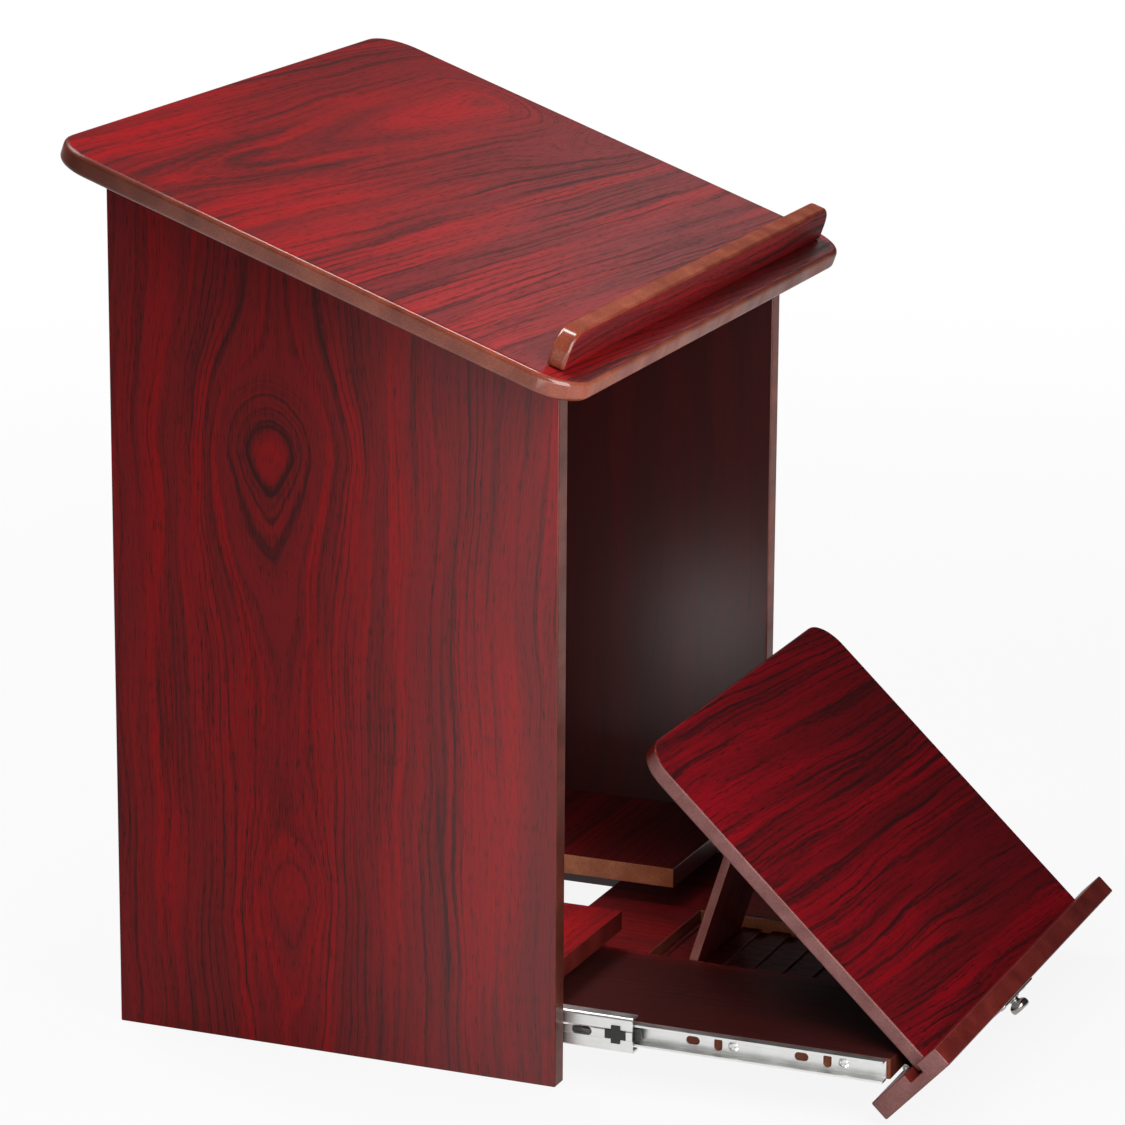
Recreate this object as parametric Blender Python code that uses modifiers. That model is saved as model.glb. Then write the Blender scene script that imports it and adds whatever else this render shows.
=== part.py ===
import math

import bmesh
import bpy
from mathutils import Matrix, Vector

# Driving dimensions in metres. X runs across the stand, the reader is on the -Y side, +Z is up.
# Y counts from the middle of the cabinet's depth and Z from the table.
ORIGIN_Y = 0.1046           # moves the whole stand so that its box is centred on the origin
GAP = 0.0003                # clearance between pieces that touch
BOARD = 0.012               # laminated board of the cabinet, shelf and tray

CABINET_WIDTH = 0.346
CABINET_DEPTH = 0.270
FRONT_HEIGHT = 0.405        # side panel at the reader's edge
TOP_SLOPE = math.radians(19.65)
BACK_PANEL = 0.009

TOP_WIDTH = 0.436
TOP_FRONT = 0.1687          # top board's reach along the slope, each way from mid depth
TOP_BACK = 0.1586
TOP_CORNER = 0.025
BOOK_STOP_LENGTH = 0.406
BOOK_STOP_HEIGHT = 0.022
BOOK_STOP_THICKNESS = 0.011
BOOK_STOP_BACK = 0.143      # its rear face, along the slope from mid depth
BOOK_STOP_CORNER = 0.013

SHELF_TOP = 0.0603
SHELF_FRONT = -0.122
SHELF_NOTCH_WIDTH = 0.082
SHELF_NOTCH_END = 0.040
SHELF_NOTCH_CORNER = 0.006

SLIDE_HEIGHT_Z = 0.0308     # middle line of the slides
SLIDE_STEEL = 0.0012
SLIDE_BEND = 0.0018         # outer radius of a rolled corner
OUTER_HALF_HEIGHT = 0.0135
MIDDLE_HALF_HEIGHT = 0.01025
INNER_HALF_HEIGHT = 0.00625
OUTER_FRONT, OUTER_BACK = -0.122, 0.124
MIDDLE_FRONT, MIDDLE_BACK = -0.175, 0.065
INNER_FRONT, INNER_BACK = -0.3197, -0.0752
# Each channel's web and the tips of its flanges, as distances from the cabinet's inner face.
OUTER_WEB, OUTER_TIP = GAP, 0.0105
MIDDLE_WEB, MIDDLE_TIP = 0.0026, 0.0108
MIDDLE_RIB, MIDDLE_RIB_HALF_HEIGHT = 0.0007, 0.003
INNER_WEB, INNER_TIP = 0.0122, 0.0050
SLOT_LENGTH, SLOT_WIDTH = 0.0080, 0.0048
INNER_SLOTS_LYING = (-0.2710, -0.2076, -0.1436)
INNER_SLOTS_UPRIGHT = (-0.2860, -0.2225, -0.1585)
RUNNER_SLOT_LENGTH, RUNNER_SLOT_WIDTH = 0.012, 0.005
RUNNER_SLOT_INSET = 0.030   # from the middle member's front end
STOP_INSET = 0.010
STOP_ARM_LONG, STOP_ARM_TALL, STOP_ARM_WIDTH = 0.012, 0.010, 0.005
STOP_NEAR, STOP_FAR = 0.0016, 0.0044

TRAY_FRONT, TRAY_BACK = -0.3218, -0.075
TRAY_HALF_WIDTH = 0.1485
TRAY_BOTTOM = 0.0246
WINDOW_HALF_WIDTH = 0.042
WINDOW_FRONT, WINDOW_BACK = -0.284, -0.139
RACK_THICKNESS = 0.0054
RACK_PITCH = 0.0182
RACK_FOOT_GROOVE = -0.1633  # middle of the groove that holds the prop leg's foot
RACK_GROOVE_WIDTH = 0.0066
RACK_GROOVE_DEPTH = 0.002
RACK_GROOVES_AHEAD = 6
RACK_GROOVES_BEHIND = 1

REST_PIVOT_Y, REST_PIVOT_Z = -0.3220, 0.022
REST_ANGLE = math.radians(43.3)
REST_HALF_WIDTH = 0.1442
REST_THICKNESS = 0.009
REST_UNDERSIDE = 0.0151     # above the pivot when the rest lies flat
REST_LENGTH_END = 0.2245    # far edge, from the pivot
REST_CORNER = 0.020
FRONT_BOARD_HALF_WIDTH = 0.1585
FRONT_BOARD_BACK = -0.0005  # back face, from the pivot
FRONT_BOARD_HEIGHT = 0.0513
FRONT_BOARD_LIP = 0.0155    # how far it stands above the rest
FRONT_GROOVE_DEPTH = 0.0055 # the rest panel is housed in this groove

PULL_WIDTH = 0.053
PULL_HEIGHT = 0.014
PULL_PLATE = 0.002
PULL_DROP = 0.0215          # below the front board's top edge
KNOB_RADIUS = 0.006
KNOB_LENGTH = 0.009
KNOB_NECK = 0.0028
KNOB_HEAD = 0.0056          # thickness of its head

LEG_PIVOT_ALONG = 0.17305   # from the rest's pivot, along the rest
LEG_PIVOT_DROP = 0.00165    # below the rest's underside
LEG_ANGLE = math.radians(63.9)
LEG_HALF_WIDTH = 0.038
LEG_THICKNESS = 0.0054
LEG_LENGTH = 0.1284
LEG_HEAD_GAP = 0.002

REST_HINGE_LENGTH = 0.054
REST_HINGE_X = 0.095
REST_KNUCKLE, REST_PIN = 0.0021, 0.0009
REST_LEAF_THICKNESS = 0.0012
REST_LEAF_REACH = 0.024     # under the tray
REST_LEAF_FRONT = -0.0028   # face of the leaf in the front board, from the pivot
HINGE_POCKET_MARGIN = 0.001
HINGE_POCKET_FOOT = 0.0016  # wood left under a pocket
LEG_HINGE_LENGTH = 0.024
LEG_HINGE_X = 0.022
LEG_KNUCKLE, LEG_PIN = 0.00142, 0.0006
LEG_LEAF_THICKNESS = 0.001
LEG_LEAF_REACH = 0.016

DOWEL_RADIUS = 0.003
DOWEL_SHORT, DOWEL_LONG = 0.008, 0.020      # depth in the face and in the edge
SHELF_DOWEL_INSET = 0.035   # from the shelf's front and back edges
TOP_DOWEL_ALONG = 0.095     # each way from mid depth, along the slope
REST_DOWEL_RADIUS = 0.002
REST_DOWEL_DEPTH = 0.004    # past the groove, into the front board
REST_DOWEL_SPREAD = 0.75    # of the rest's half width

ARC_STEPS = 6
ROUND_STEPS = 16

INNER_FACE = CABINET_WIDTH / 2 - BOARD
TOP_UNDERSIDE_MID = FRONT_HEIGHT + CABINET_DEPTH / 2 * math.tan(TOP_SLOPE)

# Local axes of an outline: its X and Y, then the way its thickness runs.
FLAT = Matrix.Identity(3)
UPRIGHT_ACROSS = Matrix(((0, 0, 1), (1, 0, 0), (0, 1, 0)))      # outline in YZ, thick along X
UPRIGHT_ALONG = Matrix(((1, 0, 0), (0, 0, -1), (0, 1, 0)))      # outline in XZ, thick along Y


def clear_scene():
    for obj in list(bpy.data.objects):
        bpy.data.objects.remove(obj, do_unlink=True)


def new_collection(name):
    collection = bpy.data.collections.new(name)
    bpy.context.scene.collection.children.link(collection)
    return collection


def material(name, color, roughness, metallic=0.0):
    result = bpy.data.materials.new(name)
    result.use_nodes = True
    shader = result.node_tree.nodes["Principled BSDF"]
    shader.inputs["Base Color"].default_value = (*color, 1.0)
    shader.inputs["Roughness"].default_value = roughness
    shader.inputs["Metallic"].default_value = metallic
    return result


clear_scene()
STAND = new_collection("reading_stand")
CUTTERS = new_collection("cutters")
LAMINATE = material("mahogany_laminate", (0.22, 0.035, 0.035), 0.35)
STAINED_EDGE = material("stained_edge", (0.20, 0.075, 0.045), 0.45)
ZINC = material("zinc_steel", (0.62, 0.62, 0.60), 0.35, 1.0)
BLACK_PLASTIC = material("black_plastic", (0.02, 0.02, 0.02), 0.5)
GUNMETAL = material("gunmetal", (0.09, 0.09, 0.10), 0.35, 1.0)
BEECH = material("beech", (0.55, 0.38, 0.22), 0.6)


def empty(name, parent=None, place=(0, 0, 0), turn_x=0.0):
    result = bpy.data.objects.new(name, None)
    STAND.objects.link(result)
    result.parent = parent
    result.location = place
    result.rotation_euler = (turn_x, 0, 0)
    return result


def add_object(name, mesh, parent, place, finish, axes=FLAT):
    result = bpy.data.objects.new(name, mesh)
    STAND.objects.link(result)
    result.parent = parent
    result.matrix_local = Matrix.Translation(Vector(place)) @ axes.to_4x4()
    if finish:
        result.data.materials.append(finish)
    return result


def make_cutter(obj):
    STAND.objects.unlink(obj)
    CUTTERS.objects.link(obj)
    obj.hide_render = True
    obj.display_type = "WIRE"
    return obj


def boolean(obj, other, operation="DIFFERENCE"):
    step = obj.modifiers.new(operation.lower(), "BOOLEAN")
    step.operation = operation
    step.object = other
    step.solver = "EXACT"


def bevel(obj, width, segments=2):
    step = obj.modifiers.new("rounded_edges", "BEVEL")
    step.width = width
    step.segments = segments
    step.limit_method = "ANGLE"
    step.angle_limit = math.radians(40)


def smooth(obj, angle=math.radians(35)):
    obj.data.shade_smooth()
    obj.data.set_sharp_from_angle(angle=angle)


def rounded(corners):
    """Outline through corners (x, y, radius), each rounded by an arc of that radius."""
    points = []
    for i, (x, y, radius) in enumerate(corners):
        here = Vector((x, y))
        if not radius:
            points.append(here)
            continue
        before = (Vector(corners[i - 1][:2]) - here).normalized()
        after = (Vector(corners[(i + 1) % len(corners)][:2]) - here).normalized()
        half = before.angle(after) / 2
        centre = here + (before + after).normalized() * radius / math.sin(half)
        start = here + before * radius / math.tan(half) - centre
        sweep = start.angle_signed(here + after * radius / math.tan(half) - centre)
        for step in range(ARC_STEPS + 1):
            points.append(centre + Matrix.Rotation(-sweep * step / ARC_STEPS, 2) @ start)
    return points


def outline(name, loops, thickness, parent, place, finish, axes=FLAT):
    """Solid of an outline, and of any holes in it, with half its thickness to each side of place."""
    curve = bpy.data.curves.new(name, "CURVE")
    curve.dimensions = "2D"
    curve.fill_mode = "BOTH"
    curve.extrude = thickness / 2
    for loop in loops:
        spline = curve.splines.new("POLY")
        spline.points.add(len(loop) - 1)
        for point, (x, y) in zip(spline.points, loop):
            point.co = (x, y, 0, 1)
        spline.use_cyclic_u = True
    source = bpy.data.objects.new(name + "_outline", curve)
    STAND.objects.link(source)
    mesh = bpy.data.meshes.new_from_object(source.evaluated_get(bpy.context.evaluated_depsgraph_get()))
    bpy.data.objects.remove(source, do_unlink=True)
    mesh.name = name
    shape = bmesh.new()
    shape.from_mesh(mesh)
    bmesh.ops.remove_doubles(shape, verts=shape.verts, dist=0.00001)
    bmesh.ops.recalc_face_normals(shape, faces=shape.faces)
    shape.to_mesh(mesh)
    shape.free()
    mesh.materials.clear()
    return add_object(name, mesh, parent, place, finish, axes)


def box(name, low, high, parent, finish):
    low, high = Vector(low), Vector(high)
    mesh = bpy.data.meshes.new(name)
    shape = bmesh.new()
    bmesh.ops.create_cube(shape, size=1.0, matrix=Matrix.Diagonal((*(high - low), 1.0)))
    shape.to_mesh(mesh)
    shape.free()
    return add_object(name, mesh, parent, (low + high) / 2, finish)


def rod(name, radius, start, end, parent, finish, steps=ROUND_STEPS):
    """Cylinder between two points."""
    start, end = Vector(start), Vector(end)
    mesh = bpy.data.meshes.new(name)
    shape = bmesh.new()
    bmesh.ops.create_cone(shape, cap_ends=True, segments=steps, radius1=radius, radius2=radius,
                          depth=(end - start).length)
    shape.to_mesh(mesh)
    shape.free()
    axes = (end - start).to_track_quat("Z", "Y").to_matrix()
    result = add_object(name, mesh, parent, (start + end) / 2, finish, axes)
    smooth(result)
    return result


def dowel(name, radius, point, into_face, parent, face_board, edge_board, depth=DOWEL_SHORT):
    """Glued dowel through the joint at point: its short end in a face, its long end in an edge."""
    into_face = Vector(into_face).normalized()
    point = Vector(point)
    tip, tail = point + into_face * depth, point - into_face * DOWEL_LONG
    rod(name, radius, tail, tip, parent, BEECH)
    hole = rod(name + "_hole", radius + GAP, tail - into_face * GAP, tip + into_face * GAP, parent, None)
    make_cutter(hole)
    for board in (face_board, edge_board):
        boolean(board, hole)


def side_sign(side):
    return -1 if side == "left" else 1


def height_under_top(y):
    """Height of the top board's underside over a given depth."""
    return TOP_UNDERSIDE_MID + y * math.tan(TOP_SLOPE)


def build_cabinet(stand):
    half = CABINET_DEPTH / 2
    panels = {}
    for side in ("left", "right"):
        profile = [(-half, 0), (half, 0), (half, height_under_top(half) - GAP),
                   (-half, height_under_top(-half) - GAP)]
        across = side_sign(side) * (CABINET_WIDTH - BOARD) / 2
        panels[side] = outline(f"side_panel_{side}", [profile], BOARD, stand, (across, 0, 0), LAMINATE,
                               UPRIGHT_ACROSS)
        bevel(panels[side], 0.0008)

    inside = INNER_FACE - GAP
    back_front = half - BACK_PANEL
    back = box("back_panel", (-inside, back_front, SHELF_TOP - BOARD),
               (inside, half, height_under_top(back_front) - GAP), stand, LAMINATE)
    bevel(back, 0.0006)

    shelf_back = back_front - GAP
    notch = SHELF_NOTCH_WIDTH / 2
    shelf_outline = rounded([(-inside, SHELF_FRONT, 0), (-notch, SHELF_FRONT, 0),
                             (-notch, SHELF_NOTCH_END, SHELF_NOTCH_CORNER),
                             (notch, SHELF_NOTCH_END, SHELF_NOTCH_CORNER),
                             (notch, SHELF_FRONT, 0), (inside, SHELF_FRONT, 0),
                             (inside, shelf_back, 0), (-inside, shelf_back, 0)])
    shelf = outline("shelf", [shelf_outline], BOARD, stand, (0, 0, SHELF_TOP - BOARD / 2), LAMINATE)
    bevel(shelf, 0.0006, 1)
    for side, panel in panels.items():
        sign = side_sign(side)
        for end, y in (("front", SHELF_FRONT + SHELF_DOWEL_INSET), ("rear", shelf_back - SHELF_DOWEL_INSET)):
            dowel(f"shelf_dowel_{side}_{end}", DOWEL_RADIUS, (sign * INNER_FACE, y, SHELF_TOP - BOARD / 2),
                  (sign, 0, 0), stand, panel, shelf)
    return panels


def build_top(stand, panels):
    slope = empty("top_slope", stand, (0, 0, TOP_UNDERSIDE_MID), TOP_SLOPE)
    half = TOP_WIDTH / 2
    corners = [(-half, -TOP_FRONT, TOP_CORNER), (half, -TOP_FRONT, TOP_CORNER),
               (half, TOP_BACK, TOP_CORNER), (-half, TOP_BACK, TOP_CORNER)]
    top = outline("top_board", [rounded(corners)], BOARD, slope, (0, 0, BOARD / 2), LAMINATE)
    bevel(top, 0.0028, 3)
    smooth(top)

    end = BOOK_STOP_LENGTH / 2
    corners = [(-end, 0, 0), (end, 0, 0), (end, BOOK_STOP_HEIGHT, BOOK_STOP_CORNER),
               (-end, BOOK_STOP_HEIGHT, BOOK_STOP_CORNER)]
    middle = -BOOK_STOP_BACK - BOOK_STOP_THICKNESS / 2
    stop = outline("book_stop", [rounded(corners)], BOOK_STOP_THICKNESS, slope, (0, middle, BOARD + GAP),
                   LAMINATE, UPRIGHT_ALONG)
    bevel(stop, 0.0018, 2)
    smooth(stop)

    for x in (-BOOK_STOP_LENGTH / 3, 0, BOOK_STOP_LENGTH / 3):
        place = {-1: "left", 0: "middle", 1: "right"}[(x > 0) - (x < 0)]
        dowel(f"book_stop_dowel_{place}", DOWEL_RADIUS, (x, middle, BOARD), (0, 0, -1), slope, top, stop)
    for side, panel in panels.items():
        x = side_sign(side) * (CABINET_WIDTH - BOARD) / 2
        for end, along in (("front", -TOP_DOWEL_ALONG), ("rear", TOP_DOWEL_ALONG)):
            dowel(f"top_dowel_{side}_{end}", DOWEL_RADIUS, (x, along, 0), (0, 0, 1), slope, top, panel)


def channel(web, tip, half_height, rib=0.0, rib_half_height=0.0):
    """Section of a rolled channel. web and tip are distances from the cabinet's inner face, and rib
    is how far the middle of the web stands out towards that face."""
    inner_web = web + SLIDE_STEEL * (1 if tip > web else -1)
    inner_height = half_height - SLIDE_STEEL
    inner_bend = SLIDE_BEND - SLIDE_STEEL
    corners = [(web, -half_height, SLIDE_BEND), (tip, -half_height, 0), (tip, -inner_height, 0),
               (inner_web, -inner_height, inner_bend)]
    if rib:
        corners += [(inner_web, -rib_half_height, 0), (inner_web - rib, -rib_half_height + rib, 0),
                    (inner_web - rib, rib_half_height - rib, 0), (inner_web, rib_half_height, 0)]
    corners += [(inner_web, inner_height, inner_bend), (tip, inner_height, 0), (tip, half_height, 0),
                (web, half_height, SLIDE_BEND)]
    if rib:
        corners += [(web, rib_half_height, 0), (web - rib, rib_half_height - rib, 0),
                    (web - rib, -rib_half_height + rib, 0), (web, -rib_half_height, 0)]
    return rounded(corners)


def slide_member(name, side, section, front, back, parent):
    sign = side_sign(side)
    loop = [(sign * (INNER_FACE - depth), z) for depth, z in section]
    return outline(name, [loop], back - front, parent, (0, (front + back) / 2, SLIDE_HEIGHT_Z), ZINC,
                   UPRIGHT_ALONG)


def slot_cutter(name, side, y, length, height, depths, parent):
    """Cutter for a round-ended slot through a slide's web, length along Y and height along Z."""
    radius = min(length, height) / 2 - 0.00005
    corners = [(-length / 2, -height / 2, radius), (length / 2, -height / 2, radius),
               (length / 2, height / 2, radius), (-length / 2, height / 2, radius)]
    near, far = depths
    x = side_sign(side) * (INNER_FACE - (near + far) / 2)
    cutter = outline(name, [rounded(corners)], far - near, parent, (x, y, SLIDE_HEIGHT_Z), None,
                     UPRIGHT_ACROSS)
    return make_cutter(cutter)


def build_stop(side, runner, runners):
    """Plus-shaped plastic stop, let into the middle member near its front end."""
    sign = side_sign(side)
    arms = {"long": (STOP_ARM_LONG, STOP_ARM_WIDTH), "tall": (STOP_ARM_WIDTH, STOP_ARM_TALL)}
    stop = None
    for arm, (length, height) in arms.items():
        centre = Vector((sign * (INNER_FACE - (STOP_NEAR + STOP_FAR) / 2), MIDDLE_FRONT + STOP_INSET,
                         SLIDE_HEIGHT_Z))
        span = Vector(((STOP_FAR - STOP_NEAR) / 2, length / 2, height / 2))
        room = Vector((SLIDE_STEEL, GAP, GAP))
        seat = box(f"slide_seat_{arm}_{side}", centre - span - room, centre + span + room, runners, None)
        boolean(runner, make_cutter(seat))
        if stop is None:
            stop = box(f"slide_stop_{side}", centre - span, centre + span, runners, BLACK_PLASTIC)
        else:
            other = box(f"slide_stop_{arm}_{side}", centre - span, centre + span, runners, None)
            boolean(stop, make_cutter(other), "UNION")


def build_slides(stand, runners, tray):
    outer = channel(OUTER_WEB, OUTER_TIP, OUTER_HALF_HEIGHT)
    middle = channel(MIDDLE_WEB, MIDDLE_TIP, MIDDLE_HALF_HEIGHT, MIDDLE_RIB, MIDDLE_RIB_HALF_HEIGHT)
    inner = channel(INNER_WEB, INNER_TIP, INNER_HALF_HEIGHT)
    inner_slots = [(y, SLOT_LENGTH, SLOT_WIDTH) for y in INNER_SLOTS_LYING]
    inner_slots += [(y, SLOT_WIDTH, SLOT_LENGTH) for y in INNER_SLOTS_UPRIGHT]
    for side in ("left", "right"):
        slide_member(f"slide_outer_{side}", side, outer, OUTER_FRONT, OUTER_BACK, stand)

        runner = slide_member(f"slide_middle_{side}", side, middle, MIDDLE_FRONT, MIDDLE_BACK, runners)
        build_stop(side, runner, runners)
        boolean(runner, slot_cutter(f"runner_slot_{side}", side, MIDDLE_FRONT + RUNNER_SLOT_INSET,
                                    RUNNER_SLOT_LENGTH, RUNNER_SLOT_WIDTH,
                                    (MIDDLE_WEB - SLIDE_STEEL, MIDDLE_WEB + 2 * SLIDE_STEEL), runners))

        member = slide_member(f"slide_inner_{side}", side, inner, INNER_FRONT, INNER_BACK, tray)
        for i, (y, length, height) in enumerate(inner_slots):
            boolean(member, slot_cutter(f"inner_slot_{side}_{i}", side, y, length, height,
                                        (INNER_WEB - 2 * SLIDE_STEEL, INNER_WEB + SLIDE_STEEL), tray))


def build_tray(tray):
    half = TRAY_HALF_WIDTH
    window = WINDOW_HALF_WIDTH
    board = [(-half, TRAY_FRONT), (half, TRAY_FRONT), (half, TRAY_BACK), (-half, TRAY_BACK)]
    hole = [(-window, WINDOW_FRONT), (window, WINDOW_FRONT), (window, WINDOW_BACK), (-window, WINDOW_BACK)]
    result = outline("tray_board", [board, hole], BOARD, tray, (0, 0, TRAY_BOTTOM + BOARD / 2), LAMINATE)
    bevel(result, 0.0006, 1)

    face = TRAY_BOTTOM + RACK_THICKNESS
    profile = [(WINDOW_BACK - GAP, face), (WINDOW_BACK - GAP, TRAY_BOTTOM), (WINDOW_FRONT + GAP, TRAY_BOTTOM),
               (WINDOW_FRONT + GAP, face)]
    for i in range(RACK_GROOVES_AHEAD, -RACK_GROOVES_BEHIND - 1, -1):
        centre = RACK_FOOT_GROOVE - i * RACK_PITCH
        low, high = centre - RACK_GROOVE_WIDTH / 2, centre + RACK_GROOVE_WIDTH / 2
        floor = face - RACK_GROOVE_DEPTH
        profile += [(low, face), (low, floor), (high, floor), (high, face)]
    outline("rack_board", [profile], 2 * (window - GAP), tray, (0, 0, 0), STAINED_EDGE, UPRIGHT_ACROSS)


def hinge_leaf(name, parent, low, high, knuckle_radius, bore_radius, spans, finish):
    """Hinge leaf whose pin lies along its parent's X axis: a plate and its rolled knuckles."""
    leaf = box(name, low, high, parent, finish)
    for i, (start, end) in enumerate(spans):
        knuckle = rod(f"{name}_knuckle_{i}", knuckle_radius, (start, 0, 0), (end, 0, 0), parent, finish)
        boolean(leaf, make_cutter(knuckle), "UNION")
    bore = rod(f"{name}_bore", bore_radius, (low[0] - BOARD, 0, 0), (high[0] + BOARD, 0, 0), parent, None)
    boolean(leaf, make_cutter(bore))
    smooth(leaf)
    return leaf


def hinge(prefix, centre_x, length, fixed, moving, fixed_plate, moving_plate, knuckle_radius, pin_radius):
    """Butt hinge of two leaves and a pin. Each plate is its Y and Z reach from the pin."""
    third = length / 3
    low, high = centre_x - length / 2, centre_x + length / 2
    outer_spans = [(low, low + third - GAP), (high - third + GAP, high)]
    inner_spans = [(low + third, high - third)]
    bore = pin_radius + GAP
    for name, parent, plate, spans in ((f"{prefix}_fixed_leaf", fixed, fixed_plate, outer_spans),
                                       (f"{prefix}_moving_leaf", moving, moving_plate, inner_spans)):
        (y0, y1), (z0, z1) = plate
        leaf = hinge_leaf(name, parent, (low, y0, z0), (high, y1, z1), knuckle_radius, bore, spans, GUNMETAL)
        for start, end in (inner_spans if spans is outer_spans else outer_spans):
            relief = rod(f"{name}_relief_{start:.4f}", knuckle_radius + GAP, (start - GAP, 0, 0),
                         (end + GAP, 0, 0), parent, None)
            boolean(leaf, make_cutter(relief))
    rod(f"{prefix}_pin", pin_radius, (low, 0, 0), (high, 0, 0), fixed, ZINC, 12)


def build_rest(pivot):
    underside, face = REST_UNDERSIDE, REST_UNDERSIDE + REST_THICKNESS
    back, front = FRONT_BOARD_BACK, FRONT_BOARD_BACK - BOARD
    groove_floor = back - FRONT_GROOVE_DEPTH
    near = groove_floor + GAP
    half = REST_HALF_WIDTH
    corners = [(-half, near, 0), (half, near, 0), (half, REST_LENGTH_END, REST_CORNER),
               (-half, REST_LENGTH_END, REST_CORNER)]
    panel = outline("rest_panel", [rounded(corners)], REST_THICKNESS, pivot,
                    (0, 0, (underside + face) / 2), LAMINATE)
    bevel(panel, 0.0012, 2)

    lip = face + FRONT_BOARD_LIP
    foot = lip - FRONT_BOARD_HEIGHT
    low, high = underside - GAP, face + GAP
    profile = [(front, foot), (back, foot), (back, low), (groove_floor, low), (groove_floor, high),
               (back, high), (back, lip), (front, lip)]
    board = outline("front_board", [profile], 2 * FRONT_BOARD_HALF_WIDTH, pivot, (0, 0, 0), LAMINATE,
                    UPRIGHT_ACROSS)
    bevel(board, 0.0008, 1)
    for side in ("left", "right"):
        x = side_sign(side) * REST_HINGE_X
        reach = REST_HINGE_LENGTH / 2 + HINGE_POCKET_MARGIN
        pocket = box(f"hinge_pocket_{side}", (x - reach, REST_LEAF_FRONT - GAP, foot + HINGE_POCKET_FOOT),
                     (x + reach, back + BOARD / 2, REST_KNUCKLE + HINGE_POCKET_MARGIN), pivot, None)
        boolean(board, make_cutter(pocket))

    spread = half * REST_DOWEL_SPREAD
    for place, x in (("left", -spread), ("middle", 0), ("right", spread)):
        dowel(f"rest_dowel_{place}", REST_DOWEL_RADIUS, (x, groove_floor, (underside + face) / 2),
              (0, -1, 0), pivot, board, panel, REST_DOWEL_DEPTH)


def build_pull(pivot):
    """Backplate with rounded ends and a turned knob, on the outer face of the front board."""
    outer = FRONT_BOARD_BACK - BOARD - GAP
    height = REST_UNDERSIDE + REST_THICKNESS + FRONT_BOARD_LIP - PULL_DROP
    end, tall = PULL_WIDTH / 2, PULL_HEIGHT / 2
    turn = tall * 0.7
    corners = [(-end, -tall, turn), (end, -tall, turn), (end, tall, turn), (-end, tall, turn)]
    plate = outline("pull_backplate", [rounded(corners)], PULL_PLATE, pivot,
                    (0, outer - PULL_PLATE / 2, height), GUNMETAL, UPRIGHT_ALONG)
    bevel(plate, 0.0006, 2)

    # Knob profile from its crown down to its foot: radius and distance out from the backplate.
    middle = KNOB_LENGTH - KNOB_HEAD / 2
    profile = [(0, KNOB_LENGTH)]
    for step in range(ARC_STEPS + 1):
        angle = math.radians(75 - 150 * step / ARC_STEPS)
        profile.append((KNOB_RADIUS * math.cos(angle) ** 0.5, middle + KNOB_HEAD / 2 * math.sin(angle)))
    profile += [(KNOB_NECK, KNOB_LENGTH - KNOB_HEAD), (KNOB_NECK, 0.0010), (KNOB_NECK * 1.6, 0), (0, 0)]
    mesh = bpy.data.meshes.new("pull_knob")
    shape = bmesh.new()
    verts = [shape.verts.new((radius, 0, along)) for radius, along in profile]
    for first, second in zip(verts, verts[1:]):
        shape.edges.new((first, second))
    shape.to_mesh(mesh)
    shape.free()
    axes = Matrix.Rotation(math.radians(90), 3, "X")
    knob = add_object("pull_knob", mesh, pivot, (0, outer - PULL_PLATE - GAP, height), GUNMETAL, axes)
    turned = knob.modifiers.new("turned", "SCREW")
    turned.steps = turned.render_steps = ROUND_STEPS
    turned.use_merge_vertices = True
    turned.merge_threshold = 0.00001
    turned.use_smooth_shade = True


def build_leg(leg):
    face = -LEG_PIVOT_DROP
    board = box("prop_leg", (-LEG_HALF_WIDTH, -LEG_LENGTH, face - LEG_THICKNESS),
                (LEG_HALF_WIDTH, -LEG_HEAD_GAP, face), leg, LAMINATE)
    bevel(board, 0.0006, 1)


def build_hinges(tray, pivot, leg):
    """Rest hinges under the tray's front edge, and the leg's hinges under the rest."""
    hinge_seat = empty("rest_hinge_seat", tray, (0, REST_PIVOT_Y, REST_PIVOT_Z))
    leg_seat = empty("leg_hinge_seat", pivot, leg.location)
    foot = REST_UNDERSIDE + REST_THICKNESS + FRONT_BOARD_LIP - FRONT_BOARD_HEIGHT
    tray_face = TRAY_BOTTOM - REST_PIVOT_Z - GAP
    tray_plate = (-0.0004, REST_LEAF_REACH), (tray_face - REST_LEAF_THICKNESS, tray_face)
    board_plate = ((REST_LEAF_FRONT, REST_LEAF_FRONT + REST_LEAF_THICKNESS),
                   (foot + 2 * HINGE_POCKET_FOOT, 0))
    rest_face = LEG_PIVOT_DROP - GAP
    rest_plate = (0, LEG_LEAF_REACH), (rest_face - LEG_LEAF_THICKNESS, rest_face)
    leg_plate = (-LEG_LEAF_REACH, 0), (-rest_face, -rest_face + LEG_LEAF_THICKNESS)
    for side in ("left", "right"):
        sign = side_sign(side)
        hinge(f"rest_hinge_{side}", sign * REST_HINGE_X, REST_HINGE_LENGTH, hinge_seat, pivot,
              tray_plate, board_plate, REST_KNUCKLE, REST_PIN)
        hinge(f"leg_hinge_{side}", sign * LEG_HINGE_X, LEG_HINGE_LENGTH, leg_seat, leg,
              rest_plate, leg_plate, LEG_KNUCKLE, LEG_PIN)


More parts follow.
